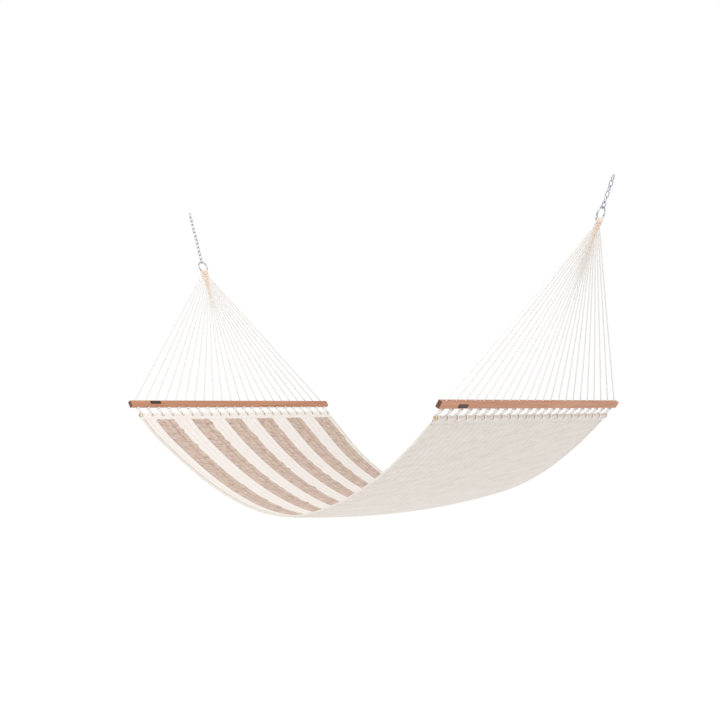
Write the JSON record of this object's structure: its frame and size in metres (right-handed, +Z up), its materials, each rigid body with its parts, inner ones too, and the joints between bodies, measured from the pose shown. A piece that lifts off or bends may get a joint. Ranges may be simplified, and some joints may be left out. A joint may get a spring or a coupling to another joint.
{
  "type": "hammock",
  "caption": "Quilted garden hammock with wooden spreader bars, rope clews gathered on steel rings, and chains whose end links hang on hooks.",
  "frame": {"origin": "where a hook bears on the inside of the head chain's end link", "axes": "+X from the head end to the foot end, +Y across the bed along the bars, +Z up"},
  "size_m": [2.5597, 1.397, 1.522],
  "materials": {
    "striped_quilt_cloth": "matte",
    "polyester_batting": "matte",
    "backing_cloth": "matte",
    "edge_tape": "matte",
    "hem_cloth": "matte",
    "hem_dowel_wood": "matte",
    "bar_hardwood": "satin",
    "badge_plate": "satin",
    "zinc_plated_steel": "satin",
    "polyester_rope": "matte"
  },
  "bodies": {
    "anchor_links": {"head_link_13": "zinc_plated_steel", "foot_link_6": "zinc_plated_steel"},
    "head_sling": {"bed_top_panel": "striped_quilt_cloth", "bed_batting": "polyester_batting", "bed_bottom_panel": "backing_cloth", "near_side_binding": "edge_tape", "far_side_binding": "edge_tape", "head_hem": "hem_cloth", "head_dowel": "hem_dowel_wood", "head_clew_weave": "polyester_rope", "head_clew_cords": "polyester_rope", "head_lashing_knots": "polyester_rope", "head_lashing_loops": "polyester_rope"},
    "foot_sling": {"foot_hem": "hem_cloth", "foot_dowel": "hem_dowel_wood", "foot_clew_weave": "polyester_rope", "foot_clew_cords": "polyester_rope", "foot_lashing_knots": "polyester_rope", "foot_lashing_loops": "polyester_rope"},
    "head_bar": {"head_bar": "bar_hardwood", "head_badge": "badge_plate"},
    "foot_bar": {"foot_bar": "bar_hardwood", "foot_badge": "badge_plate"},
    "head_ring": {"head_ring": "zinc_plated_steel"},
    "foot_ring": {"foot_ring": "zinc_plated_steel"},
    "head_link_1": {"head_link_1": "zinc_plated_steel"},
    "head_link_2": {"head_link_2": "zinc_plated_steel"},
    "head_link_3": {"head_link_3": "zinc_plated_steel"},
    "head_link_4": {"head_link_4": "zinc_plated_steel"},
    "head_link_5": {"head_link_5": "zinc_plated_steel"},
    "head_link_6": {"head_link_6": "zinc_plated_steel"},
    "head_link_7": {"head_link_7": "zinc_plated_steel"},
    "head_link_8": {"head_link_8": "zinc_plated_steel"},
    "head_link_9": {"head_link_9": "zinc_plated_steel"},
    "head_link_10": {"head_link_10": "zinc_plated_steel"},
    "head_link_11": {"head_link_11": "zinc_plated_steel"},
    "head_link_12": {"head_link_12": "zinc_plated_steel"},
    "foot_link_1": {"foot_link_1": "zinc_plated_steel"},
    "foot_link_2": {"foot_link_2": "zinc_plated_steel"},
    "foot_link_3": {"foot_link_3": "zinc_plated_steel"},
    "foot_link_4": {"foot_link_4": "zinc_plated_steel"},
    "foot_link_5": {"foot_link_5": "zinc_plated_steel"}
  },
  "joints": [
    {"name": "swing", "type": "hinge", "parent": "anchor_links", "child": "head_sling", "pos_m": [0.00864, 0, -0.02373], "axis": [0.999, 0, -0.0449], "range_deg": [-35, 35]},
    {"name": "foot_end_twist", "type": "hinge", "parent": "head_sling", "child": "foot_sling", "pos_m": [2.54133, 0, -0.13749], "axis": [0.999, 0, -0.0449], "range_deg": [-8, 8], "deforming": ["bed_top_panel", "bed_batting", "bed_bottom_panel", "near_side_binding", "far_side_binding"]},
    {"name": "head_bar_roll", "type": "hinge", "parent": "head_sling", "child": "head_bar", "pos_m": [0.37819, 0, -1.03906], "axis": [0, 1, 0], "range_deg": [-12, 12], "stiffness_Nm_per_rad": 0.6, "deforming": ["head_clew_cords", "head_lashing_knots", "head_lashing_loops"]},
    {"name": "foot_bar_roll", "type": "hinge", "parent": "foot_sling", "child": "foot_bar", "pos_m": [2.18619, 0, -1.03906], "axis": [0, 1, 0], "range_deg": [-12, 12], "stiffness_Nm_per_rad": 0.6, "deforming": ["foot_clew_cords", "foot_lashing_knots", "foot_lashing_loops"]},
    {"name": "head_ring_spin", "type": "hinge", "parent": "head_sling", "child": "head_ring", "pos_m": [0.1097, 0, -0.30141], "axis": [0.9397, 0, 0.342], "continuous": true},
    {"name": "foot_ring_spin", "type": "hinge", "parent": "foot_sling", "child": "foot_ring", "pos_m": [2.48965, 0, -0.26868], "axis": [0.9304, 0, -0.3665], "continuous": true},
    {"name": "head_link_1_twist", "type": "hinge", "parent": "head_sling", "child": "head_link_1", "pos_m": [0.09731, 0, -0.26734], "axis": [-0.342, 0, 0.9397], "range_deg": [-12, 12]},
    {"name": "head_link_2_twist", "type": "hinge", "parent": "head_sling", "child": "head_link_2", "pos_m": [0.08952, 0, -0.24596], "axis": [-0.342, 0, 0.9397], "range_deg": [-12, 12]},
    {"name": "head_link_3_twist", "type": "hinge", "parent": "head_sling", "child": "head_link_3", "pos_m": [0.08174, 0, -0.22459], "axis": [-0.342, 0, 0.9397], "range_deg": [-12, 12]},
    {"name": "head_link_4_twist", "type": "hinge", "parent": "head_sling", "child": "head_link_4", "pos_m": [0.07396, 0, -0.20321], "axis": [-0.342, 0, 0.9397], "range_deg": [-12, 12]},
    {"name": "head_link_5_twist", "type": "hinge", "parent": "head_sling", "child": "head_link_5", "pos_m": [0.06618, 0, -0.18183], "axis": [-0.342, 0, 0.9397], "range_deg": [-12, 12]},
    {"name": "head_link_6_twist", "type": "hinge", "parent": "head_sling", "child": "head_link_6", "pos_m": [0.0584, 0, -0.16045], "axis": [-0.342, 0, 0.9397], "range_deg": [-12, 12]},
    {"name": "head_link_7_twist", "type": "hinge", "parent": "head_sling", "child": "head_link_7", "pos_m": [0.05062, 0, -0.13908], "axis": [-0.342, 0, 0.9397], "range_deg": [-12, 12]},
    {"name": "head_link_8_twist", "type": "hinge", "parent": "head_sling", "child": "head_link_8", "pos_m": [0.04284, 0, -0.1177], "axis": [-0.342, 0, 0.9397], "range_deg": [-12, 12]},
    {"name": "head_link_9_twist", "type": "hinge", "parent": "head_sling", "child": "head_link_9", "pos_m": [0.03506, 0, -0.09632], "axis": [-0.342, 0, 0.9397], "range_deg": [-12, 12]},
    {"name": "head_link_10_twist", "type": "hinge", "parent": "head_sling", "child": "head_link_10", "pos_m": [0.02728, 0, -0.07494], "axis": [-0.342, 0, 0.9397], "range_deg": [-12, 12]},
    {"name": "head_link_11_twist", "type": "hinge", "parent": "head_sling", "child": "head_link_11", "pos_m": [0.01949, 0, -0.05356], "axis": [-0.342, 0, 0.9397], "range_deg": [-12, 12]},
    {"name": "head_link_12_twist", "type": "hinge", "parent": "head_sling", "child": "head_link_12", "pos_m": [0.01171, 0, -0.03218], "axis": [-0.342, 0, 0.9397], "range_deg": [-8, 8]},
    {"name": "foot_link_1_twist", "type": "hinge", "parent": "foot_sling", "child": "foot_link_1", "pos_m": [2.50294, 0, -0.23495], "axis": [0.3665, 0, 0.9304], "range_deg": [-12, 12]},
    {"name": "foot_link_2_twist", "type": "hinge", "parent": "foot_sling", "child": "foot_link_2", "pos_m": [2.51127, 0, -0.21379], "axis": [0.3665, 0, 0.9304], "range_deg": [-12, 12]},
    {"name": "foot_link_3_twist", "type": "hinge", "parent": "foot_sling", "child": "foot_link_3", "pos_m": [2.51961, 0, -0.19262], "axis": [0.3665, 0, 0.9304], "range_deg": [-12, 12]},
    {"name": "foot_link_4_twist", "type": "hinge", "parent": "foot_sling", "child": "foot_link_4", "pos_m": [2.52795, 0, -0.17145], "axis": [0.3665, 0, 0.9304], "range_deg": [-12, 12]},
    {"name": "foot_link_5_twist", "type": "hinge", "parent": "foot_sling", "child": "foot_link_5", "pos_m": [2.53629, 0, -0.15028], "axis": [0.3665, 0, 0.9304], "range_deg": [-8, 8]}
  ]
}
